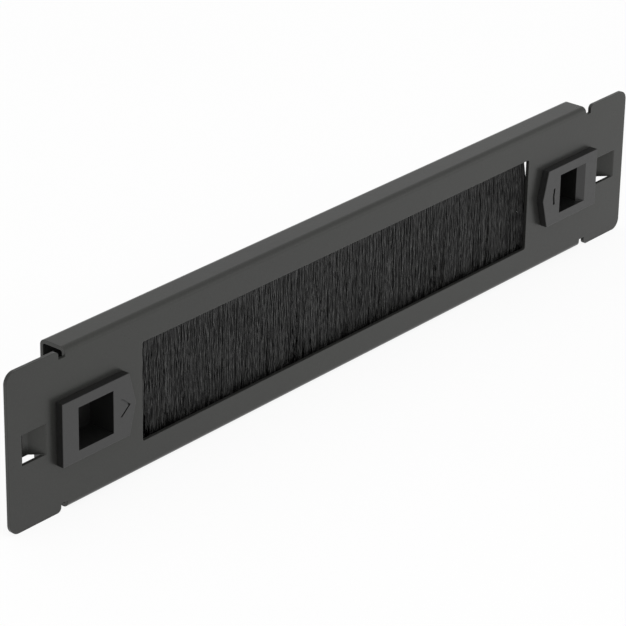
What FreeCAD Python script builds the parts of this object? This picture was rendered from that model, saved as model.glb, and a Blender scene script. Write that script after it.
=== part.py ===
import FreeCAD, Part

# Brush strip panel for a ten-inch rack, one unit high, with two hand-worked latches.
# Millimetres. +X runs to the right seen from the front, +Y to the rear, +Z up.
# The origin is the centre of the mounting plane, where the backs of the ears meet the rack rails.

import math
import os
import re

import Sketcher
from FreeCAD import Vector

# Driving dimensions: name, size and what it measures.

SIZES = [
    ("panel_width", 254.0, "front plate from ear end to ear end"),
    ("panel_height", 43.7, "one rack unit less the gap to its neighbours"),
    ("sheet", 1.0, "thickness of the steel sheet"),
    ("bend_inside", 0.6, "inside radius of every long fold"),
    ("fold_depth", 8.4, "front face to the back of the rear lips"),
    ("lip_height", 8.0, "rear lips, measured from the top or bottom face"),
    ("rail_lap", 15.875, "how far each ear overlaps its rack rail"),
    ("rail_sheet", 2.0, "thickest rail that the latches take"),
    ("fold_clear", 4.0, "ends of the folds to the rails' edges"),
    ("relief_width", 2.3, "slit between an ear and the folds"),
    ("relief_depth", 2.3, "slit, from the top or bottom edge"),
    ("ear_corner", 3.0, "outer corners of the ears"),
    ("slit_corner", 1.3, "ear corners beside the slits"),
    ("window_gap", 1.25, "cable window to the point of a latch that is slid free"),
    ("window_margin", 8.1, "cable window to the panel's top and bottom"),
    ("window_corner", 0.6, "cable window"),
    ("hole_inset", 8.7375, "ear's end to the column of square rack holes"),
    ("locator_width", 9.1, "stamped bridge where it leaves the ear's back"),
    ("locator_height", 8.3, "stamped bridge, up and down"),
    ("locator_depth", 3.2, "how far the bridge stands behind the ear"),
    ("leg_angle", 45.0, "both legs of the bridge, from the ear"),
    ("stamp_bend", 0.9, "inside radius of the bridge's bends"),
    ("latch_travel", 3.5, "slide from locked to free"),
    ("slide_gap", 0.1, "running gap between a latch and the panel's faces"),
    ("guide_gap", 0.2, "running gap between a latch cup and its slot"),
    ("fit_gap", 0.05, "gap between pieces that are snapped together"),
    ("hook_reach", 1.8, "how far a bolt hooks behind its rail"),
    ("hook_lead", 1.5, "sloping corner at the back of the bolt's nose"),
    ("rail_clear", 0.6, "bolt's shoulder to the rail's edge"),
    ("knob_setback", 2.25, "bolt's nose to the knob's outer end"),
    ("end_cover", 0.6, "slot's outer end under the knob when the latch is free"),
    ("shoulder_cover", 0.85, "slot's inner end under the knob when the latch is locked"),
    ("side_cover", 1.35, "slot's sides under the knob"),
    ("knob_point", 2.3, "how far the knob's point stands past its shoulder"),
    ("knob_plate", 2.15, "thickness of the knob plate"),
    ("knob_edge", 0.15, "rounding of the knob plate's front edges"),
    ("pocket_width", 12.3, "finger pocket"),
    ("pocket_height", 11.7, "finger pocket"),
    ("pocket_depth", 8.25, "finger pocket, from the knob's front face"),
    ("finger_slope", 1.8, "sloping lead at the outer end of the finger pocket, along and in"),
    ("cup_wall", 1.2, "walls of the cup round the finger pocket"),
    ("cup_floor", 1.0, "floor of the cup"),
    ("arrow_height", 5.0, "chevron groove"),
    ("left_arrow_run", 3.05, "left chevron, along the panel"),
    ("right_arrow_run", 0.35, "right chevron, along the panel, nearly straight in the photo"),
    ("arrow_stroke", 0.75, "width of the groove, along the panel"),
    ("arrow_depth", 0.4, "depth of the groove"),
    ("arrow_gap", 2.3, "chevron's ends to the finger pocket"),
    ("bolt_wall", 1.3, "walls of the bolt frame"),
    ("bolt_rim", 1.9, "snap ledges to the bolt's top and bottom"),
    ("bolt_edge", 0.5, "rounding of the bolt's upright edges"),
    ("snap_width", 6.0, "snap ridges on the cup"),
    ("snap_reach", 0.6, "how far a snap ridge stands out"),
    ("snap_depth", 1.4, "ledge of a snap ridge, from the back of the latch"),
    ("brush_lap", 0.25, "strip brush past each end of the window"),
    ("channel_height", 6.0, "metal channel of the strip brush"),
    ("channel_wall", 0.6, "metal channel of the strip brush"),
    ("channel_fit", 0.1, "gap between the channel and the rear lip"),
    ("core_wire", 1.6, "wire that the bristles are folded over"),
    ("pack_gap", 0.05, "bristles to the channel's walls"),
    ("tuft_pitch", 2.0, "one ridge of bristles"),
    ("tuft_relief", 0.4, "depth of the furrows between ridges"),
    ("bristle_end_gap", 3.6, "bristle tips to the bottom flange"),
    ("tip_scatter", 0.9, "unevenness of the bristle tips"),
    ("fan_reach", 1.5, "how far the end bristles spread at the tips"),
    ("fan_start", 10.6, "bristles stay upright this far below the channel"),
]

# Places worked out from the sizes, with the distances along X counted from the middle.

PLACES = [
    ("half_width", "panel_width / 2"),
    ("half_height", "panel_height / 2"),
    ("rail_edge", "half_width - rail_lap"),
    ("fold_end", "rail_edge - fold_clear"),
    ("ear_inner", "fold_end + relief_width"),
    ("web_half", "half_height - relief_depth"),
    ("inside_half", "half_height - sheet"),
    ("lip_end", "half_height - lip_height"),
    ("lip_back", "fold_depth - sheet"),
    ("lip_front", "lip_back - sheet"),
    ("window_top", "half_height - window_margin"),
    ("hole_line", "half_width - hole_inset"),
    ("leg_run", "locator_depth / tan(leg_angle * 1 deg)"),
    ("leg_shift", "sheet * tan(leg_angle * 0.5 deg)"),
    ("bridge_in", "hole_line - locator_width / 2"),
    ("bridge_out", "hole_line + locator_width / 2"),
    ("bridge_half", "locator_height / 2"),
    ("nose_end", "rail_edge + hook_reach"),
    ("shoulder", "rail_edge - rail_clear"),
    ("hook_front", "rail_sheet + guide_gap"),
    ("knob_outer", "nose_end - knob_setback"),
    ("slot_outer", "knob_outer - latch_travel - end_cover"),
    ("cup_outer", "slot_outer - guide_gap"),
    ("pocket_outer", "cup_outer - cup_wall"),
    ("pocket_inner", "pocket_outer - pocket_width"),
    ("cup_inner", "pocket_inner - cup_wall"),
    ("slot_inner", "cup_inner - guide_gap - latch_travel"),
    ("knob_shoulder", "slot_inner - shoulder_cover"),
    ("knob_tip", "knob_shoulder - knob_point"),
    ("window_half", "knob_tip - latch_travel - window_gap"),
    ("cup_middle", "(pocket_outer + pocket_inner) / 2"),
    ("pocket_half", "pocket_height / 2"),
    ("cup_half", "pocket_half + cup_wall"),
    ("slot_half", "cup_half + guide_gap"),
    ("knob_half", "slot_half + side_cover"),
    ("knob_back", "sheet + slide_gap"),
    ("knob_front", "knob_back + knob_plate"),
    ("latch_back", "pocket_depth + cup_floor - knob_plate - knob_back"),
    ("bolt_half", "cup_half + snap_reach + fit_gap + bolt_rim"),
    ("bolt_inner", "cup_inner - fit_gap - bolt_wall"),
    ("snap_ledge", "latch_back - snap_depth"),
    ("core_outer", "nose_end - hook_lead - bolt_wall"),
    ("core_inner", "cup_outer + fit_gap + bolt_wall"),
    ("arrow_end", "pocket_inner - arrow_gap - arrow_stroke"),
    ("brush_half", "window_half + brush_lap"),
    ("channel_back", "lip_front - channel_fit"),
    ("channel_mouth", "inside_half - channel_height"),
    ("channel_bend", "bend_inside + channel_wall / 2"),
    ("brush_middle", "channel_back / 2"),
    ("pack_half", "channel_back / 2 - channel_wall - pack_gap"),
    ("wire_height", "inside_half - channel_wall - pack_gap - pack_half"),
    ("tip_height", "bristle_end_gap - inside_half"),
    ("fan_height", "channel_mouth - fan_start"),
]

# How the tufts are scattered: shares of a tuft's own size, and the steps between neighbours in radians.

CREST_WANDER = 0.18
CREST_LEAN = 0.3
CREST_STEP = 2.4
LEAN_STEP = 1.7
BACK_START = 1.3
TIP_PLACE = 0.3
TIP_STEP = 1.9
FINE_TIP_STEP = 5.3
FINE_TIP_SHARE = 0.5
TIP_LIFT = 0.8

SIZE_NAMES = [row[0] for row in SIZES]
PLACE_NAMES = [row[0] for row in PLACES]

doc = FreeCAD.newDocument("brush_strip_panel")
sizes = doc.addObject("Spreadsheet::Sheet", "sizes")
places = doc.addObject("Spreadsheet::Sheet", "places")


def spell(text, inside_places=False):
    """Turn an expression in plain names into one that points at the two sheets."""
    def point(match):
        name = match.group()
        if name in SIZE_NAMES:
            return "sizes." + name
        if name in PLACE_NAMES and not inside_places:
            return "places." + name
        return name
    return re.sub(r"[a-z_]+", point, text)


def fill_sheets():
    """Write the sizes as plain numbers and the places as formulas, each with its alias."""
    for row, (name, number, meaning) in enumerate(SIZES, 1):
        sizes.set("A%d" % row, name)
        sizes.set("B%d" % row, str(number))
        sizes.set("C%d" % row, meaning)
        sizes.setAlias("B%d" % row, name)
    for row, (name, formula) in enumerate(PLACES, 1):
        places.set("A%d" % row, name)
        places.setAlias("B%d" % row, name)
        places.set("B%d" % row, "=" + spell(formula, inside_places=True))
    doc.recompute()


def mm(name):
    """Read one size or place as a number."""
    sheet = sizes if name in SIZE_NAMES else places
    return float(sheet.get(name))


# Modelling steps shared by the sub-parts.

def new_body(name):
    body = doc.addObject("PartDesign::Body", name)
    body.Label = name
    return body


def new_sketch(body, name, plane, offset="0"):
    """Start a sketch on one of the body's own planes, moved along the plane's normal."""
    sketch = body.newObject("Sketcher::SketchObject", name)
    origin_plane = [item for item in body.Origin.OriginFeatures if item.Role == plane + "_Plane"][0]
    sketch.AttachmentSupport = [(origin_plane, "")]
    sketch.MapMode = "FlatFace"
    sketch.setExpression("AttachmentOffset.Base.z", spell(offset))
    return sketch


def pin_point(sketch, line, end, across, up):
    """Hold one end of a line at a place given by two expressions."""
    for kind, text in (("DistanceX", across), ("DistanceY", up)):
        index = sketch.addConstraint(Sketcher.Constraint(kind, -1, 1, line, end, 1.0))
        sketch.setExpression("Constraints[%d]" % index, spell(text))


def draw_outline(sketch, corners):
    """Draw a closed outline through corners, each a pair of expressions."""
    count = len(corners)
    spots = [
        Vector(math.cos(math.tau * turn / count), math.sin(math.tau * turn / count), 0)
        for turn in range(count)
    ]
    first = sketch.GeometryCount
    for index in range(count):
        sketch.addGeometry(Part.LineSegment(spots[index], spots[(index + 1) % count]), False)
    for index in range(count):
        following = first + (index + 1) % count
        sketch.addConstraint(Sketcher.Constraint("Coincident", first + index, 2, following, 1))
    for index, (across, up) in enumerate(corners):
        pin_point(sketch, first + index, 1, across, up)


def draw_box(sketch, low_across, high_across, low_up, high_up):
    draw_outline(sketch, [
        (low_across, low_up),
        (high_across, low_up),
        (high_across, high_up),
        (low_across, high_up),
    ])


def pad(body, name, profile, length, symmetric=False, backwards=False):
    feature = body.newObject("PartDesign::Pad", name)
    feature.Profile = profile
    feature.SideType = "Symmetric" if symmetric else "One side"
    feature.Reversed = backwards
    feature.setExpression("Length", spell(length))
    body.Tip = feature
    return feature


def pocket(body, name, profile, depth=None, symmetric=False, backwards=False):
    """Cut a profile to a depth, or right through both ways where no depth is given."""
    feature = body.newObject("PartDesign::Pocket", name)
    feature.Profile = profile
    feature.SideType = "Symmetric" if symmetric or depth is None else "One side"
    feature.Reversed = backwards
    if depth is None:
        feature.Type = "ThroughAll"
    else:
        feature.setExpression("Length", spell(depth))
    body.Tip = feature
    return feature


def round_edges(body, name, radius, wanted):
    """Fillet the edges of the body's last feature that the test picks out."""
    doc.recompute()
    base = body.Tip
    picked = ["Edge%d" % number for number, edge in enumerate(base.Shape.Edges, 1) if wanted(edge)]
    feature = body.newObject("PartDesign::Fillet", name)
    feature.Base = (base, picked)
    feature.setExpression("Radius", spell(radius))
    body.Tip = feature
    return feature


def middle_of(edge):
    return edge.valueAt((edge.FirstParameter + edge.LastParameter) / 2)


def runs_along(edge, axis):
    """True for a straight edge along X, Y or Z."""
    if len(edge.Vertexes) < 2 or edge.Curve.TypeId != "Part::GeomLine":
        return False
    direction = edge.Vertexes[1].Point - edge.Vertexes[0].Point
    return abs(getattr(direction.normalize(), axis)) > 0.999


def near(number, place):
    return abs(number - place) < 0.01


# Front panel: one sheet, pierced, stamped and folded into a C at its top and bottom.

def folded_middle(body):
    """The middle of the sheet with both C folds, as one long bent section."""
    section = new_sketch(body, "fold_section", "YZ")
    draw_outline(section, [
        ("-sheet", "-half_height"),
        ("lip_back", "-half_height"),
        ("lip_back", "-lip_end"),
        ("lip_front", "-lip_end"),
        ("lip_front", "-inside_half"),
        ("0", "-inside_half"),
        ("0", "inside_half"),
        ("lip_front", "inside_half"),
        ("lip_front", "lip_end"),
        ("lip_back", "lip_end"),
        ("lip_back", "half_height"),
        ("-sheet", "half_height"),
    ])
    pad(body, "folded_sheet", section, "2 * fold_end", symmetric=True)
    inside_bends = (0.0, mm("lip_front"))
    outside_bends = (-mm("sheet"), mm("lip_back"))

    def is_bend(edge, depths, height):
        spot = middle_of(edge)
        at_height = near(abs(spot.z), mm(height))
        return runs_along(edge, "x") and at_height and any(near(spot.y, depth) for depth in depths)

    round_edges(body, "inside_bends", "bend_inside",
                lambda edge: is_bend(edge, inside_bends, "inside_half"))
    round_edges(body, "outside_bends", "bend_inside + sheet",
                lambda edge: is_bend(edge, outside_bends, "half_height"))


def flat_ears(body):
    """Flat ears at both ends, cut free of the folds by a slit above and below."""
    outline = new_sketch(body, "ear_outlines", "XZ")
    for side in ("-", ""):
        draw_outline(outline, [
            (side + "fold_end", "-web_half"),
            (side + "ear_inner", "-web_half"),
            (side + "ear_inner", "-half_height"),
            (side + "half_width", "-half_height"),
            (side + "half_width", "half_height"),
            (side + "ear_inner", "half_height"),
            (side + "ear_inner", "web_half"),
            (side + "fold_end", "web_half"),
        ])
    pad(body, "ears", outline, "sheet")

    def is_corner(edge, across):
        spot = middle_of(edge)
        return runs_along(edge, "y") and near(abs(spot.x), mm(across)) and near(abs(spot.z), mm("half_height"))

    round_edges(body, "ear_corners", "ear_corner", lambda edge: is_corner(edge, "half_width"))
    round_edges(body, "slit_corners", "slit_corner", lambda edge: is_corner(edge, "ear_inner"))


def pierced_openings(body):
    """The cable window and the two slots that the latches slide in."""
    openings = new_sketch(body, "opening_outlines", "XZ")
    draw_box(openings, "-window_half", "window_half", "-window_top", "window_top")
    for side in ("-", ""):
        draw_box(openings, side + "slot_inner", side + "slot_outer", "-slot_half", "slot_half")
    pocket(body, "openings", openings)

    def is_window_corner(edge):
        spot = middle_of(edge)
        at_corner = near(abs(spot.x), mm("window_half")) and near(abs(spot.z), mm("window_top"))
        return runs_along(edge, "y") and at_corner

    round_edges(body, "window_corners", "window_corner", is_window_corner)


def stamped_locators(body):
    """A bridge sheared above and below in each ear, which drops into the square rack hole."""
    shear = new_sketch(body, "shear_outlines", "XZ")
    for side in ("-", ""):
        draw_box(shear, side + "bridge_in", side + "bridge_out", "-bridge_half", "bridge_half")
    pocket(body, "sheared_openings", shear)
    section = new_sketch(body, "bridge_sections", "XY")
    for side in ("-", ""):
        draw_outline(section, [
            (side + "(bridge_in - sheet)", "-sheet"),
            (side + "(bridge_in + leg_shift)", "-sheet"),
            (side + "(bridge_in + leg_shift + leg_run)", "locator_depth - sheet"),
            (side + "(bridge_out - leg_shift - leg_run)", "locator_depth - sheet"),
            (side + "(bridge_out - leg_shift)", "-sheet"),
            (side + "(bridge_out + sheet)", "-sheet"),
            (side + "(bridge_out + sheet)", "0"),
            (side + "bridge_out", "0"),
            (side + "(bridge_out - leg_run)", "locator_depth"),
            (side + "(bridge_in + leg_run)", "locator_depth"),
            (side + "bridge_in", "0"),
            (side + "(bridge_in - sheet)", "0"),
        ])
    pad(body, "bridges", section, "locator_height", symmetric=True)
    run, shift, depth = mm("leg_run"), mm("leg_shift"), mm("locator_depth")

    def is_bend(edge, inset, level):
        spot = middle_of(edge)
        at_leg = near(abs(abs(spot.x) - mm("hole_line")), mm("locator_width") / 2 - inset)
        return runs_along(edge, "z") and near(spot.z, 0) and at_leg and near(spot.y, level)

    round_edges(body, "front_bends", "stamp_bend",
                lambda edge: is_bend(edge, shift, -mm("sheet")))
    round_edges(body, "back_bends", "stamp_bend",
                lambda edge: is_bend(edge, run, depth))
    round_edges(body, "floor_bends", "stamp_bend / 2",
                lambda edge: is_bend(edge, shift + run, depth - mm("sheet")))


def make_front_panel():
    body = new_body("front_panel")
    folded_middle(body)
    flat_ears(body)
    pierced_openings(body)
    stamped_locators(body)
    return body


# Latches: a knob in front, snapped into a bolt behind, with the panel's sheet held between them.

def make_latch_knob(name, side, arrow_run):
    """Knob plate with its point towards the middle, and a cup that a fingertip fits."""
    body = new_body(name)
    outline = new_sketch(body, name + "_outline", "XZ", "knob_back")
    draw_outline(outline, [
        (side + "knob_outer", "-knob_half"),
        (side + "knob_outer", "knob_half"),
        (side + "knob_shoulder", "knob_half"),
        (side + "knob_tip", "0"),
        (side + "knob_shoulder", "-knob_half"),
    ])
    pad(body, name + "_plate", outline, "knob_plate")
    round_edges(body, name + "_edges", "knob_edge",
                lambda edge: near(middle_of(edge).y, -mm("knob_front")))

    cup = new_sketch(body, name + "_cup_outline", "XZ", "knob_back")
    draw_box(cup, side + "cup_inner", side + "cup_outer", "-cup_half", "cup_half")
    pad(body, name + "_cup", cup, "latch_back + knob_back", backwards=True)

    snaps = new_sketch(body, name + "_snap_section", "YZ", side + "cup_middle")
    for up in ("-", ""):
        draw_outline(snaps, [
            ("snap_ledge + fit_gap", up + "(cup_half - cup_wall / 2)"),
            ("snap_ledge + fit_gap", up + "(cup_half + snap_reach)"),
            ("latch_back - fit_gap", up + "cup_half"),
            ("latch_back - fit_gap", up + "(cup_half - cup_wall / 2)"),
        ])
    pad(body, name + "_snaps", snaps, "snap_width", symmetric=True)

    finger = new_sketch(body, name + "_finger_section", "XY")
    draw_outline(finger, [
        (side + "pocket_inner", "-knob_front"),
        (side + "pocket_outer", "-knob_front"),
        (side + "(pocket_outer - finger_slope)", "finger_slope - knob_front"),
        (side + "(pocket_outer - finger_slope)", "pocket_depth - knob_front"),
        (side + "pocket_inner", "pocket_depth - knob_front"),
    ])
    pocket(body, name + "_finger_pocket", finger, "pocket_height", symmetric=True)

    arrow = new_sketch(body, name + "_arrow_outline", "XZ", "knob_front")
    draw_outline(arrow, [
        (side + "(arrow_end - %s)" % arrow_run, "0"),
        (side + "arrow_end", "arrow_height / 2"),
        (side + "(arrow_end + arrow_stroke)", "arrow_height / 2"),
        (side + "(arrow_end - %s + arrow_stroke)" % arrow_run, "0"),
        (side + "(arrow_end + arrow_stroke)", "-arrow_height / 2"),
        (side + "arrow_end", "-arrow_height / 2"),
    ])
    pocket(body, name + "_arrow", arrow, "arrow_depth")
    return body


def make_latch_bolt(name, side):
    """Frame behind the panel that holds the cup, with a nose that hooks behind the rail."""
    body = new_body(name)
    section = new_sketch(body, name + "_section", "XY")
    draw_outline(section, [
        (side + "bolt_inner", "slide_gap"),
        (side + "shoulder", "slide_gap"),
        (side + "shoulder", "hook_front"),
        (side + "nose_end", "hook_front"),
        (side + "nose_end", "latch_back - hook_lead"),
        (side + "(nose_end - hook_lead)", "latch_back"),
        (side + "bolt_inner", "latch_back"),
    ])
    pad(body, name + "_block", section, "2 * bolt_half", symmetric=True)

    def is_end_edge(edge):
        spot = middle_of(edge)
        at_end = near(abs(spot.x), mm("bolt_inner")) or near(abs(spot.x), mm("nose_end"))
        return runs_along(edge, "y") and at_end

    round_edges(body, name + "_end_edges", "bolt_edge", is_end_edge)

    seat = new_sketch(body, name + "_seat_outline", "XZ")
    draw_box(seat, side + "(cup_inner - fit_gap)", side + "(cup_outer + fit_gap)",
             "-(cup_half + fit_gap)", "cup_half + fit_gap")
    pocket(body, name + "_seat", seat)

    ledges = new_sketch(body, name + "_ledge_outline", "XZ", "-latch_back")
    draw_box(ledges, side + "(cup_middle - snap_width / 2 - fit_gap)",
             side + "(cup_middle + snap_width / 2 + fit_gap)",
             "-(cup_half + snap_reach + fit_gap)", "cup_half + snap_reach + fit_gap")
    pocket(body, name + "_ledges", ledges, "snap_depth", backwards=True)

    cores = new_sketch(body, name + "_core_outlines", "XZ", "-latch_back")
    for up in ("-", ""):
        draw_box(cores, side + "core_inner", side + "core_outer",
                 up + "bolt_wall / 2", up + "(bolt_half - bolt_wall)")
    pocket(body, name + "_cores", cores, "latch_back - hook_front - bolt_wall", backwards=True)
    return body


# Strip brush: a steel channel closed over bristles that are folded round a core wire.

def make_brush_channel():
    body = new_body("brush_channel")
    section = new_sketch(body, "channel_section", "YZ")
    draw_outline(section, [
        ("0", "channel_mouth"),
        ("channel_wall", "channel_mouth"),
        ("channel_wall", "inside_half - channel_wall"),
        ("channel_back - channel_wall", "inside_half - channel_wall"),
        ("channel_back - channel_wall", "channel_mouth"),
        ("channel_back", "channel_mouth"),
        ("channel_back", "inside_half"),
        ("0", "inside_half"),
    ])
    pad(body, "channel_strip", section, "2 * brush_half", symmetric=True)

    def is_bend(edge, height):
        return runs_along(edge, "x") and near(middle_of(edge).z, height)

    top = mm("inside_half")
    round_edges(body, "channel_inside_bends", "channel_bend - channel_wall",
                lambda edge: is_bend(edge, top - mm("channel_wall")))
    round_edges(body, "channel_outside_bends", "channel_bend", lambda edge: is_bend(edge, top))
    return body


def make_core_wire():
    wire = doc.addObject("Part::Cylinder", "brush_core_wire")
    wire.Label = "brush_core_wire"
    wire.setExpression("Radius", spell("core_wire / 2"))
    wire.setExpression("Height", spell("2 * brush_half"))
    wire.setExpression("Placement.Base.x", spell("-brush_half"))
    wire.setExpression("Placement.Base.y", spell("brush_middle"))
    wire.setExpression("Placement.Base.z", spell("wire_height"))
    wire.Placement.Rotation = FreeCAD.Rotation(Vector(0, 1, 0), 90)
    return wire


def furrowed_edge(tufts, depth_sign, seed):
    """One side of the pack seen from above: a crest for each tuft, with a furrow between."""
    reach = mm("brush_half") + mm("fan_reach")
    pitch = 2 * reach / tufts
    crest = mm("pack_half")
    furrow = crest - mm("tuft_relief")
    points = []
    for tuft in range(tufts):
        left = -reach + tuft * pitch
        wander = CREST_WANDER * pitch * math.sin(seed + CREST_STEP * tuft)
        lean = CREST_LEAN * mm("tuft_relief") * (1 + math.sin(seed + LEAN_STEP * tuft))
        points.append(Vector(left, mm("brush_middle") + depth_sign * furrow, 0))
        points.append(Vector(left + pitch / 2 + wander, mm("brush_middle") + depth_sign * (crest - lean), 0))
    points.append(Vector(reach, mm("brush_middle") + depth_sign * furrow, 0))
    return points


def tip_outline(tufts):
    """The pack seen from the front: straight in the channel, fanned at the ends, uneven at the tips."""
    top = mm("wire_height")
    half = mm("brush_half")
    reach = half + mm("fan_reach")
    pitch = 2 * reach / tufts
    bottom = []
    for tuft in range(1, tufts):
        across = -reach + (tuft + TIP_PLACE) * pitch
        coarse = math.sin(TIP_STEP * tuft)
        fine = FINE_TIP_SHARE * math.sin(FINE_TIP_STEP * tuft)
        scatter = mm("tip_scatter") * (coarse + fine) / (1 + FINE_TIP_SHARE)
        lift = mm("tip_scatter") * TIP_LIFT * (tuft % 2)
        bottom.append(Vector(across, 0, mm("tip_height") + lift + scatter))
    ends = [
        Vector(reach, 0, mm("tip_height")),
        Vector(half, 0, mm("fan_height")),
        Vector(half, 0, top),
        Vector(-half, 0, top),
        Vector(-half, 0, mm("fan_height")),
        Vector(-reach, 0, mm("tip_height")),
    ]
    return bottom + ends


def make_bristles():
    """The bristle pack as one solid with a ridge for each tuft."""
    length = 2 * mm("brush_half")
    tufts = int(round(length / mm("tuft_pitch")))
    deep = mm("panel_height")
    front_side = furrowed_edge(tufts, -1, 0.0)
    back_side = furrowed_edge(tufts, 1, BACK_START)
    plan = front_side + back_side[::-1]
    plan_face = Part.Face(Part.makePolygon(plan + [plan[0]]))
    plan_face.translate(Vector(0, 0, -mm("half_height")))
    ridges = plan_face.extrude(Vector(0, 0, 2 * deep))
    front_view = tip_outline(tufts)
    front_face = Part.Face(Part.makePolygon(front_view + [front_view[0]]))
    front_face.translate(Vector(0, -deep, 0))
    silhouette = front_face.extrude(Vector(0, 2 * deep, 0))
    pack = ridges.common(silhouette)

    radius = mm("pack_half")
    centre = Vector(-mm("brush_half"), mm("brush_middle"), mm("wire_height"))
    crown = Part.Arc(
        centre + Vector(0, -radius, 0),
        centre + Vector(0, 0, radius),
        centre + Vector(0, radius, 0),
    ).toShape()
    chord = Part.LineSegment(centre + Vector(0, radius, 0), centre + Vector(0, -radius, 0)).toShape()
    fold = Part.Face(Part.Wire([crown, chord])).extrude(Vector(length, 0, 0))
    bore_radius = mm("core_wire") / 2 + mm("pack_gap")
    bore = Part.makeCylinder(bore_radius, length, centre, Vector(1, 0, 0))

    bristles = doc.addObject("Part::Feature", "brush_bristles")
    bristles.Label = "brush_bristles"
    bristles.Shape = pack.fuse(fold).removeSplitter().cut(bore)
    return bristles


# Build every sub-part, check it and write it out.

def check(parts):
    """Stop if any object failed to build, or if a sub-part isn't one sound solid."""
    doc.recompute()
    for item in doc.Objects:
        if "Invalid" in item.State or "Error" in item.State:
            raise RuntimeError("%s failed to build: %s" % (item.Name, item.State))
    for part in parts:
        shape = part.Shape
        if shape.isNull() or not shape.isValid() or len(shape.Solids) != 1:
            raise RuntimeError("%s isn't one sound solid" % part.Label)
        box = shape.BoundBox
        print("%-18s %9.1f mm3  X %8.2f %8.2f  Y %6.2f %6.2f  Z %7.2f %7.2f" % (
            part.Label, shape.Volume, box.XMin, box.XMax, box.YMin, box.YMax, box.ZMin, box.ZMax))


def main():
    fill_sheets()
    parts = [make_front_panel()]
    for name, side in (("left", "-"), ("right", "")):
        parts.append(make_latch_knob(name + "_latch_knob", side, name + "_arrow_run"))
        parts.append(make_latch_bolt(name + "_latch_bolt", side))
    parts.append(make_brush_channel())
    parts.append(make_core_wire())
    parts.append(make_bristles())
    check(parts)
    os.makedirs("parts", exist_ok=True)
    for part in parts:
        part.Shape.exportStep(os.path.join("parts", part.Label + ".step"))


main()
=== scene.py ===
import math

import bpy
import numpy as np
from mathutils import Matrix, Vector


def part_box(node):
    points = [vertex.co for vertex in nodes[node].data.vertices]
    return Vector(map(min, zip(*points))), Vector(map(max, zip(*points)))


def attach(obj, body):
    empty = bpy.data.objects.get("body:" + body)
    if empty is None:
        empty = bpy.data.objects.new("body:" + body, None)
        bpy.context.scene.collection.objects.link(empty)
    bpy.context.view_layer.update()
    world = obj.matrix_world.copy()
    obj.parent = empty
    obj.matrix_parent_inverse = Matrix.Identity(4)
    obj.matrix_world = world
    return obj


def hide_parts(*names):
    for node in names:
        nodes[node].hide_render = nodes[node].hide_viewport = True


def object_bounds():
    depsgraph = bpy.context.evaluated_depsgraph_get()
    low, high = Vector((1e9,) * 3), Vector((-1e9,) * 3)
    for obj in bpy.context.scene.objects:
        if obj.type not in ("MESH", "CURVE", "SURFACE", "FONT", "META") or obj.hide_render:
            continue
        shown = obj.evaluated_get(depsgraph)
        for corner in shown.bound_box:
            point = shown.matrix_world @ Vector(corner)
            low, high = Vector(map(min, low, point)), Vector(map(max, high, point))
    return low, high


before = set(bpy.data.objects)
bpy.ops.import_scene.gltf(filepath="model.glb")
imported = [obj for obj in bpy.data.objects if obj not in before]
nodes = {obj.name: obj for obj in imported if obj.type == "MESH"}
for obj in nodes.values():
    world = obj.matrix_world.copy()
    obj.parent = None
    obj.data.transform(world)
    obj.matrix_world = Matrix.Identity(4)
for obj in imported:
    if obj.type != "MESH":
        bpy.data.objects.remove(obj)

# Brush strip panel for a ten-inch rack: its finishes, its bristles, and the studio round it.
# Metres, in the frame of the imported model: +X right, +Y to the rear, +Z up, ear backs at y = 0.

cad_low, cad_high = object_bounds()
MM = 0.001

# The camera, at the photograph's viewing angle.

PHOTO_WIDTH = 626
FOCAL_PIXELS = 3120.6
SENSOR_WIDTH = 36.0
CLIP_NEAR = 0.01
CLIP_FAR = 50.0
AZIMUTH = math.radians(-50.270)
ELEVATION = math.radians(25.107)
ROLL = math.radians(1.012)
CAMERA_DISTANCE = 822.700 * MM
LOOK_AT = Vector((-14.291, -1.0, -1.148)) * MM


def add_camera():
    back = Vector((
        math.sin(AZIMUTH) * math.cos(ELEVATION),
        -math.cos(AZIMUTH) * math.cos(ELEVATION),
        math.sin(ELEVATION),
    ))
    level = (-back).cross(Vector((0, 0, 1))).normalized()
    up = level.cross(-back)
    right = level * math.cos(ROLL) + up * math.sin(ROLL)
    above = up * math.cos(ROLL) - level * math.sin(ROLL)
    place = Matrix((right, above, back)).transposed().to_4x4()
    place.translation = LOOK_AT + back * CAMERA_DISTANCE
    bpy.ops.object.camera_add()
    camera = bpy.context.object
    camera.name = "camera"
    camera.matrix_world = place
    camera.data.sensor_width = SENSOR_WIDTH
    camera.data.lens = FOCAL_PIXELS / PHOTO_WIDTH * SENSOR_WIDTH
    camera.data.clip_start = CLIP_NEAR
    camera.data.clip_end = CLIP_FAR
    bpy.context.scene.camera = camera


add_camera()


# Finishes. Every pattern reads Object coordinates or the bristles' own attribute.

MIX_FIRST_COLOUR = 6
MIX_SECOND_COLOUR = 7
MIX_RESULT = 2
EDGE_SAMPLES = 8


def new_finish(name, roughness):
    """Start a material, and return it with its node tree and shader."""
    finish = bpy.data.materials.new(name)
    finish.use_nodes = True
    tree = finish.node_tree
    shader = tree.nodes["Principled BSDF"]
    shader.inputs["Roughness"].default_value = roughness
    return finish, tree, shader


def grain(tree, spot_mm, detail=2.0, draw_out=(1.0, 1.0, 1.0)):
    """Noise with spots about this many millimetres across, longer where draw_out is above 1."""
    where = tree.nodes.new("ShaderNodeTexCoord")
    place = tree.nodes.new("ShaderNodeMapping")
    place.inputs["Scale"].default_value = [1.0 / length for length in draw_out]
    noise = tree.nodes.new("ShaderNodeTexNoise")
    noise.inputs["Scale"].default_value = 1.0 / (spot_mm * MM)
    noise.inputs["Detail"].default_value = detail
    tree.links.new(where.outputs["Object"], place.inputs["Vector"])
    tree.links.new(place.outputs["Vector"], noise.inputs["Vector"])
    return noise.outputs["Fac"]


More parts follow.
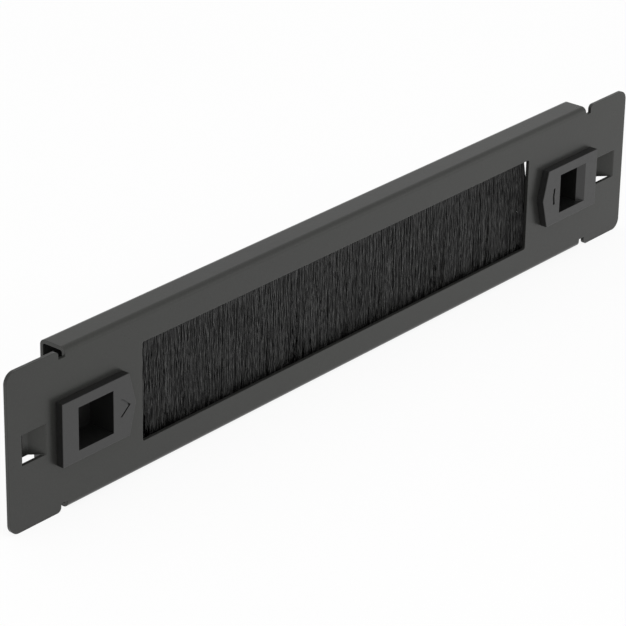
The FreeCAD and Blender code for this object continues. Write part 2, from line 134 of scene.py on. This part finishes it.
def spread(tree, value, low, high, from_low=0.3, from_high=0.7):
    """Stretch a value to run from low to high; noise lies mostly between 0.3 and 0.7."""
    ranger = tree.nodes.new("ShaderNodeMapRange")
    ranger.inputs["From Min"].default_value = from_low
    ranger.inputs["From Max"].default_value = from_high
    ranger.inputs["To Min"].default_value = low
    ranger.inputs["To Max"].default_value = high
    tree.links.new(value, ranger.inputs["Value"])
    return ranger.outputs["Result"]


def combine(tree, operation, first, second):
    """One Math node; either input may be a number or a socket."""
    maths = tree.nodes.new("ShaderNodeMath")
    maths.operation = operation
    for socket, value in zip(maths.inputs, (first, second)):
        if isinstance(value, (int, float)):
            socket.default_value = value
        else:
            tree.links.new(value, socket)
    return maths.outputs["Value"]


def blend_colours(tree, amount, dark, light):
    """A colour between two, by a value from 0 to 1."""
    mixer = tree.nodes.new("ShaderNodeMix")
    mixer.data_type = "RGBA"
    tree.links.new(amount, mixer.inputs["Factor"])
    for number, colour in ((MIX_FIRST_COLOUR, dark), (MIX_SECOND_COLOUR, light)):
        if isinstance(colour, tuple):
            mixer.inputs[number].default_value = (*colour, 1.0)
        else:
            tree.links.new(colour, mixer.inputs[number])
    return mixer.outputs[MIX_RESULT]


def relief(tree, shader, height, depth_mm, edge_mm=0.0):
    """Bump of this depth, over edges that look rounded by edge_mm."""
    bump = tree.nodes.new("ShaderNodeBump")
    bump.inputs["Distance"].default_value = depth_mm * MM
    tree.links.new(height, bump.inputs["Height"])
    if edge_mm:
        edge = tree.nodes.new("ShaderNodeBevel")
        edge.samples = EDGE_SAMPLES
        edge.inputs["Radius"].default_value = edge_mm * MM
        tree.links.new(edge.outputs["Normal"], bump.inputs["Normal"])
    tree.links.new(bump.outputs["Normal"], shader.inputs["Normal"])


def powder_coat():
    """Satin black powder coat: faint drifts in shade, an orange-peel surface and a fine grain."""
    finish, tree, shader = new_finish("powder_coat_satin_black", roughness=0.30)
    shader.inputs["Specular IOR Level"].default_value = 0.40
    shader.inputs["Specular Tint"].default_value = (0.99, 1.0, 0.965, 1.0)
    drift = spread(tree, grain(tree, spot_mm=38.0, detail=3.0), 0.0, 1.0)
    base = blend_colours(tree, drift, (0.0182, 0.0183, 0.0178), (0.0202, 0.0208, 0.0190))
    speck = spread(tree, grain(tree, spot_mm=0.35, detail=1.0), 0.0, 1.0, 0.52, 0.80)
    coloured = blend_colours(tree, speck, base, (0.028, 0.028, 0.026))
    tree.links.new(coloured, shader.inputs["Base Color"])
    clouds = spread(tree, grain(tree, spot_mm=9.0), 0.29, 0.33)
    sparkle = spread(tree, grain(tree, spot_mm=0.5), -0.02, 0.02)
    tree.links.new(combine(tree, "ADD", clouds, sparkle), shader.inputs["Roughness"])
    peel = grain(tree, spot_mm=1.4, detail=1.0)
    pores = combine(tree, "MULTIPLY", grain(tree, spot_mm=0.32), 0.45)
    relief(tree, shader, combine(tree, "ADD", peel, pores), depth_mm=0.012, edge_mm=0.20)
    return finish


def moulded_plastic():
    """Black moulded plastic with a fine spark-eroded grain."""
    finish, tree, shader = new_finish("latch_plastic_black", roughness=0.36)
    shader.inputs["Specular IOR Level"].default_value = 0.65
    drift = spread(tree, grain(tree, spot_mm=14.0, detail=3.0), 0.0, 1.0)
    base = blend_colours(tree, drift, (0.0040, 0.0040, 0.0039), (0.0052, 0.0054, 0.0049))
    speck = spread(tree, grain(tree, spot_mm=0.22, detail=1.0), 0.0, 1.0, 0.50, 0.80)
    coloured = blend_colours(tree, speck, base, (0.013, 0.013, 0.0126))
    tree.links.new(coloured, shader.inputs["Base Color"])
    tree.links.new(spread(tree, grain(tree, spot_mm=1.2), 0.32, 0.40), shader.inputs["Roughness"])
    relief(tree, shader, grain(tree, spot_mm=0.2), depth_mm=0.008, edge_mm=0.07)
    return finish


def rolled_steel(name, colour, line_length, roughness):
    """Zinc plated steel with fine lines along the panel."""
    finish, tree, shader = new_finish(name, roughness)
    shader.inputs["Metallic"].default_value = 1.0
    lines = grain(tree, spot_mm=0.12, draw_out=(line_length, 1.0, 1.0))
    clouds = spread(tree, grain(tree, spot_mm=6.0, detail=3.0), 0.0, 1.0)
    dull = tuple(0.72 * channel for channel in colour)
    tree.links.new(blend_colours(tree, clouds, dull, colour), shader.inputs["Base Color"])
    rough = spread(tree, lines, roughness - 0.08, roughness + 0.12)
    tree.links.new(rough, shader.inputs["Roughness"])
    relief(tree, shader, lines, depth_mm=0.006, edge_mm=0.08)
    return finish


def bristle_nylon():
    """Black crimped nylon bristles, each with its own tone, with painted highlights: short lighter
    dashes in the colour, over a bump in the same dashes.
    """
    finish, tree, shader = new_finish("bristle_nylon_black", roughness=0.40)
    shader.inputs["Specular IOR Level"].default_value = 0.39
    own = tree.nodes.new("ShaderNodeAttribute")
    own.attribute_name = "strand"
    base = blend_colours(tree, own.outputs["Fac"], (0.001, 0.001, 0.001), (0.006, 0.006, 0.0059))
    dashes = grain(tree, spot_mm=0.40, detail=1.0, draw_out=(1.0, 1.0, 6.0))
    # Painted highlight: lighter dashes of colour along the hairs stand in for the light the crimped
    # filaments catch in short streaks.
    painted_glint = combine(tree, "MULTIPLY", spread(tree, dashes, 0.0, 1.0, 0.44, 0.64), 0.7)
    coloured = blend_colours(tree, painted_glint, base, (0.060, 0.060, 0.058))
    tree.links.new(coloured, shader.inputs["Base Color"])
    tree.links.new(spread(tree, grain(tree, spot_mm=0.8), 0.34, 0.48), shader.inputs["Roughness"])
    relief(tree, shader, dashes, depth_mm=0.06)
    return finish


def dress(node, finish):
    """Give a CAD node a finish in place of its plain one."""
    for slot in nodes[node].material_slots:
        slot.material = finish


coat = powder_coat()
plastic = moulded_plastic()
nylon = bristle_nylon()
dress("front_panel", coat)
for latch_piece in ("left_latch_knob", "left_latch_bolt", "right_latch_knob", "right_latch_bolt"):
    dress(latch_piece, plastic)
dress("brush_channel", rolled_steel("channel_steel", (0.56, 0.56, 0.55), 30.0, 0.34))
dress("brush_core_wire", rolled_steel("wire_steel", (0.50, 0.50, 0.50), 20.0, 0.30))


# Bristles: each hair is folded over the core wire, with one leg in front and one behind.

HAIR_RADIUS = 0.118 * MM
HAIR_SIDES = 3
HAIR_PITCH = 0.23 * MM
FOLD_STEPS = 3
LEG_STEPS = 8
TIP_TAPER = 0.6
END_GAP = 0.36 * MM
SAME_RING = 0.001 * MM

# Each layer is folded round the wire at its own radius in mm, and gathers in tufts by its own share.

HAIR_LAYERS = ((1.02, 0.0), (1.35, 0.0), (1.68, 0.3), (2.00, 1.0), (2.30, 1.0))
LAYER_SEED = 100
CLUMP_SEED = 41
CLUMP_PITCH = 2.1 * MM
CLUMP_GAPS = (0.55, 1.5)
CLUMP_LEAN = 0.34 * MM
CLUMP_TILT = 0.22 * MM
CLUMP_PULL = 0.20
PULL_RANGE = (0.3, 1.3)

# How far a single hair strays, and how its stray grows from the channel's mouth to the tip.

ROOT_STRAY = 0.45
HAIR_SWAY = 0.30 * MM
SWAY_CURVE = 1.6
HAIR_TILT = 0.12 * MM
TILT_CURVE = 1.4
LENGTH_STRAY = 0.45 * MM
TRIM_WAVE = 0.35 * MM
TRIM_STRETCH = 2.7 * MM
KINK = 0.30 * MM
BOW = 0.3 * KINK
KINK_RISE = 0.3
SHADE_CURVE = 1.6

# Hairs crowd towards both ends of the channel, and spread past its ends near their tips.

FAN_Z = 11.5 * MM
FAN_DROP = 5.5 * MM
FAN_ROOT = 8.0 * MM
FAN_CURVE = 1.5
OPEN_CURVE = 0.8
EDGE_HAIRS = 1.2 * MM
EDGE_CROWD = 1.25
TIP_TRIM = 0.3 * MM

pack_low, pack_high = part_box("brush_bristles")
channel_low, channel_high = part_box("brush_channel")
wire_low, wire_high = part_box("brush_core_wire")
WIRE_Y = (wire_low[1] + wire_high[1]) / 2
WIRE_Z = (wire_low[2] + wire_high[2]) / 2
MOUTH_Z = channel_low[2]
TIP_Z = pack_low[2] + TIP_TRIM
LEG_DROP = (WIRE_Z - TIP_Z) / LEG_STEPS
STRAIGHT_HALF = channel_high[0] - END_GAP
FAN_REACH = pack_high[0] - channel_high[0] - HAIR_RADIUS


def deselect_all():
    bpy.ops.object.select_all(action="DESELECT")


def pick_ring(mesh_object, height, ahead):
    """In edit mode, select only the ring of one leg at this height."""
    bpy.ops.mesh.select_all(action="DESELECT")
    bpy.ops.object.mode_set(mode="OBJECT")
    for vertex in mesh_object.data.vertices:
        in_leg = vertex.co.y < WIRE_Y if ahead else vertex.co.y > WIRE_Y
        vertex.select = in_leg and abs(vertex.co.z - height) < SAME_RING
    bpy.ops.object.mode_set(mode="EDIT")


def model_hair(name, fold_radius):
    """One hair: a ring spun half round the wire, then both ends drawn down to their tips."""
    deselect_all()
    bpy.ops.mesh.primitive_circle_add(
        vertices=HAIR_SIDES, radius=HAIR_RADIUS, fill_type="NOTHING",
        location=(0, WIRE_Y - fold_radius, WIRE_Z))
    hair = bpy.context.object
    hair.name = name
    bpy.ops.object.transform_apply(location=True, rotation=True, scale=True)
    bpy.ops.object.mode_set(mode="EDIT")
    bpy.ops.mesh.select_mode(type="VERT")
    bpy.ops.mesh.select_all(action="SELECT")
    bpy.ops.mesh.spin(steps=FOLD_STEPS, angle=-math.pi, center=(0, WIRE_Y, WIRE_Z), axis=(1, 0, 0))
    for ahead in (True, False):
        for step in range(LEG_STEPS):
            pick_ring(hair, WIRE_Z - step * LEG_DROP, ahead)
            bpy.ops.mesh.extrude_region_move(TRANSFORM_OT_translate={"value": (0, 0, -LEG_DROP)})
        bpy.ops.transform.resize(value=(TIP_TAPER, TIP_TAPER, 1.0))
        bpy.ops.mesh.edge_face_add()
    bpy.ops.mesh.select_all(action="SELECT")
    bpy.ops.mesh.normals_make_consistent(inside=False)
    bpy.ops.object.mode_set(mode="OBJECT")
    return hair


def clump_middles():
    """Where the tufts draw together along the channel, and how each leans and tilts."""
    draw = np.random.default_rng(CLUMP_SEED)
    middles = []
    across = -STRAIGHT_HALF
    while across < STRAIGHT_HALF:
        middles.append(across)
        across += CLUMP_PITCH * draw.uniform(*CLUMP_GAPS)
    middles = np.array(middles)
    leans = draw.normal(0.0, CLUMP_LEAN, len(middles))
    tilts = draw.normal(0.0, CLUMP_TILT, len(middles))
    return middles, leans, tilts


def even_roots(count):
    """Where the array puts each hair along the channel, before it is combed."""
    return np.linspace(-STRAIGHT_HALF, STRAIGHT_HALF, count)


def strayed_roots(count, draw):
    """Shuffle the roots a little, and crowd them towards both ends of the channel."""
    roots = even_roots(count)
    inner = np.abs(roots) < STRAIGHT_HALF - HAIR_PITCH
    roots = roots + draw.uniform(-ROOT_STRAY, ROOT_STRAY, count) * HAIR_PITCH * inner
    to_end = np.clip((STRAIGHT_HALF - np.abs(roots)) / FAN_ROOT, 0.0, 1.0)
    crowded = np.sign(roots) * (STRAIGHT_HALF - FAN_ROOT * to_end ** EDGE_CROWD)
    return np.where(to_end < 1.0, crowded, roots)


def comb(piece, count, seed, gather):
    """Give every hair its own place, lean, kinks, length and shade, and gather them in tufts."""
    draw = np.random.default_rng(seed)
    mesh = piece.data
    size = len(mesh.vertices) // count
    flat = np.empty(len(mesh.vertices) * 3, np.float32)
    mesh.vertices.foreach_get("co", flat)
    spots = flat.reshape(count, size, 3).astype(np.float64)
    roots = strayed_roots(count, draw)
    outward = np.sign(roots)
    outermost = np.abs(roots) > STRAIGHT_HALF - EDGE_HAIRS
    middles, leans, tilts = CLUMPS
    nearest = np.abs(roots[:, None] - middles[None, :]).argmin(axis=1)
    ring = np.clip(np.rint((WIRE_Z - spots[:, :, 2]) / LEG_DROP), 0, LEG_STEPS).astype(int)
    hair = np.arange(count)[:, None]
    fall = np.clip((MOUTH_Z - spots[:, :, 2]) / (MOUTH_Z - TIP_Z), 0.0, 1.0)
    free = np.clip((MOUTH_Z - spots[:, :, 2]) / LEG_DROP, 0.0, 1.0)
    inside = (ring > 1) & (ring < LEG_STEPS)
    ahead = spots[:, :, 1] < WIRE_Y
    for leg in (ahead, ~ahead):
        pull = (middles[nearest] - roots) * CLUMP_PULL * gather * draw.uniform(*PULL_RANGE, count)
        sway = gather * leans[nearest] + draw.normal(0.0, HAIR_SWAY, count)
        tilt = tilts[nearest] + draw.normal(0.0, HAIR_TILT, count)
        extra = draw.normal(0.0, LENGTH_STRAY, count) + TRIM_WAVE * np.sin(roots / TRIM_STRETCH)
        kinks = draw.normal(0.0, KINK, (count, LEG_STEPS + 1))
        bows = draw.normal(0.0, BOW, (count, LEG_STEPS + 1))
        rises = draw.uniform(-KINK_RISE, KINK_RISE, (count, LEG_STEPS + 1)) * LEG_DROP
        aside = pull[:, None] * fall + sway[:, None] * fall ** SWAY_CURVE + kinks[hair, ring] * free
        aside = np.where(outermost[:, None], np.abs(aside) * outward[:, None], aside)
        back = tilt[:, None] * fall ** TILT_CURVE + bows[hair, ring] * free
        spots[:, :, 0] += np.where(leg, aside, 0.0)
        spots[:, :, 1] += np.where(leg, back, 0.0)
        spots[:, :, 2] -= np.where(leg, extra[:, None] * fall, 0.0)
        spots[:, :, 2] += np.where(leg & inside, rises[hair, ring], 0.0)
    near_end = np.clip((np.abs(roots) - STRAIGHT_HALF + FAN_ROOT) / FAN_ROOT, 0.0, 1.0)
    opened = np.clip((FAN_Z - spots[:, :, 2]) / FAN_DROP, 0.0, 1.0) ** OPEN_CURVE
    spots[:, :, 0] += (outward * near_end ** FAN_CURVE)[:, None] * opened * FAN_REACH
    spots[:, :, 0] += (roots - even_roots(count))[:, None]
    limit = STRAIGHT_HALF + HAIR_RADIUS + FAN_REACH * opened
    spots[:, :, 0] = np.clip(spots[:, :, 0], -limit, limit)
    spots[:, :, 1] = np.clip(spots[:, :, 1], pack_low[1], pack_high[1])
    spots[:, :, 2] = np.maximum(spots[:, :, 2], pack_low[2])
    mesh.vertices.foreach_set("co", spots.astype(np.float32).ravel())
    shades = np.repeat(draw.uniform(0.0, 1.0, count) ** SHADE_CURVE, size)
    strand = mesh.attributes.new("strand", "FLOAT", "POINT")
    strand.data.foreach_set("value", shades.astype(np.float32))
    mesh.update()


def add_bristles(number, fold_radius, gather):
    """One layer of the brush: a hair, repeated along the channel and combed."""
    count = int(2 * STRAIGHT_HALF / HAIR_PITCH) + 1
    layer = model_hair("brush_bristles_%d" % number, fold_radius)
    layer.data.transform(Matrix.Translation((-STRAIGHT_HALF, 0, 0)))
    repeat = layer.modifiers.new("repeat", "ARRAY")
    repeat.count = count
    repeat.use_relative_offset = False
    repeat.use_constant_offset = True
    repeat.constant_offset_displace = (2 * STRAIGHT_HALF / (count - 1), 0, 0)
    bpy.ops.object.modifier_apply(modifier="repeat")
    comb(layer, count, LAYER_SEED + number, gather)
    deselect_all()
    layer.select_set(True)
    bpy.context.view_layer.objects.active = layer
    bpy.ops.object.shade_smooth()
    layer.data.materials.clear()
    layer.data.materials.append(nylon)
    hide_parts("brush_bristles")
    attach(layer, "panel")


CLUMPS = clump_middles()
for layer_number, (layer_radius, layer_gather) in enumerate(HAIR_LAYERS, 1):
    add_bristles(layer_number, layer_radius * MM, layer_gather)


# Studio: a pale floor, a white surround and soft lamps.

FLOOR_Z = cad_low[2] - 0.1 * MM
FLOOR_RADIUS = 5.0
FLOOR_SIDES = 96
SURROUND_LIGHT = 0.95
WALL_TOP = 0.12
CEILING_START = 0.30
CEILING_LIGHT = 0.68
WALL_RISE = 0.33
WALL_TURN = 0.30
FLOOR_SHOW = 0.12


def seen_directly(tree):
    """1 for what the camera, a reflection or a clear surface shows, and 0 for stray light."""
    path = tree.nodes.new("ShaderNodeLightPath")
    seen = combine(tree, "MAXIMUM", path.outputs["Is Camera Ray"], path.outputs["Is Glossy Ray"])
    return combine(tree, "MAXIMUM", seen, path.outputs["Is Transmission Ray"])


def add_surround():
    """White walls under a dimmer ceiling that comes lower behind the panel than in front."""
    world = bpy.data.worlds.new("white_surround")
    bpy.context.scene.world = world
    world.use_nodes = True
    tree = world.node_tree
    white = tree.nodes["Background"]
    white.inputs["Color"].default_value = (1.0, 1.0, 1.0, 1.0)
    where = tree.nodes.new("ShaderNodeTexCoord")
    split = tree.nodes.new("ShaderNodeSeparateXYZ")
    tree.links.new(where.outputs["Generated"], split.inputs["Vector"])
    front_walls = spread(tree, split.outputs["Y"], WALL_RISE, 0.0, -WALL_TURN, WALL_TURN)
    height = combine(tree, "SUBTRACT", split.outputs["Z"], front_walls)
    sky = spread(tree, height, 1.0, CEILING_LIGHT, WALL_TOP, CEILING_START)
    stray = spread(tree, seen_directly(tree), SURROUND_LIGHT, 1.0, 0.0, 1.0)
    tree.links.new(combine(tree, "MULTIPLY", stray, sky), white.inputs["Strength"])


def add_floor():
    """A pale floor that looks white where it is lit, and keeps a faint shadow."""
    deselect_all()
    bpy.ops.mesh.primitive_circle_add(
        vertices=FLOOR_SIDES, radius=FLOOR_RADIUS, fill_type="NGON", location=(0, 0, FLOOR_Z))
    floor = bpy.context.object
    floor.name = "studio_floor"
    bpy.ops.object.transform_apply(location=True, rotation=True, scale=True)
    finish, tree, shader = new_finish("pale_floor", roughness=0.9)
    shader.inputs["Specular IOR Level"].default_value = 0.0
    pale = spread(tree, grain(tree, spot_mm=60.0, detail=3.0), 0.0, 1.0)
    tint = blend_colours(tree, pale, (0.93, 0.93, 0.93), (0.95, 0.95, 0.95))
    tree.links.new(tint, shader.inputs["Base Color"])
    glow = tree.nodes.new("ShaderNodeEmission")
    glow.inputs["Color"].default_value = (1.0, 1.0, 1.0, 1.0)
    lit = tree.nodes.new("ShaderNodeMixShader")
    share = combine(tree, "MULTIPLY", seen_directly(tree), 1.0 - FLOOR_SHOW)
    tree.links.new(share, lit.inputs["Fac"])
    tree.links.new(shader.outputs["BSDF"], lit.inputs[1])
    tree.links.new(glow.outputs["Emission"], lit.inputs[2])
    tree.links.new(lit.outputs["Shader"], tree.nodes["Material Output"].inputs["Surface"])
    floor.data.materials.append(finish)


def add_lamp(name, place, width, height, power):
    """A soft box that faces the panel."""
    bpy.ops.object.light_add(type="AREA", location=place)
    lamp = bpy.context.object
    lamp.name = name
    lamp.data.shape = "RECTANGLE"
    lamp.data.size = width
    lamp.data.size_y = height
    lamp.data.energy = power
    lamp.rotation_euler = (-Vector(place)).to_track_quat("-Z", "Y").to_euler()


add_surround()
add_floor()
add_lamp("soft_box_above", (-0.25, -0.35, 1.5), width=1.4, height=1.4, power=8.0)
add_lamp("soft_box_left", (-1.3, -0.9, 0.9), width=1.0, height=1.0, power=4.0)
add_lamp("strip_box_right", (1.0, -0.85, 0.13), width=0.8, height=0.26, power=0.35)

bpy.context.scene.view_settings.view_transform = "Standard"
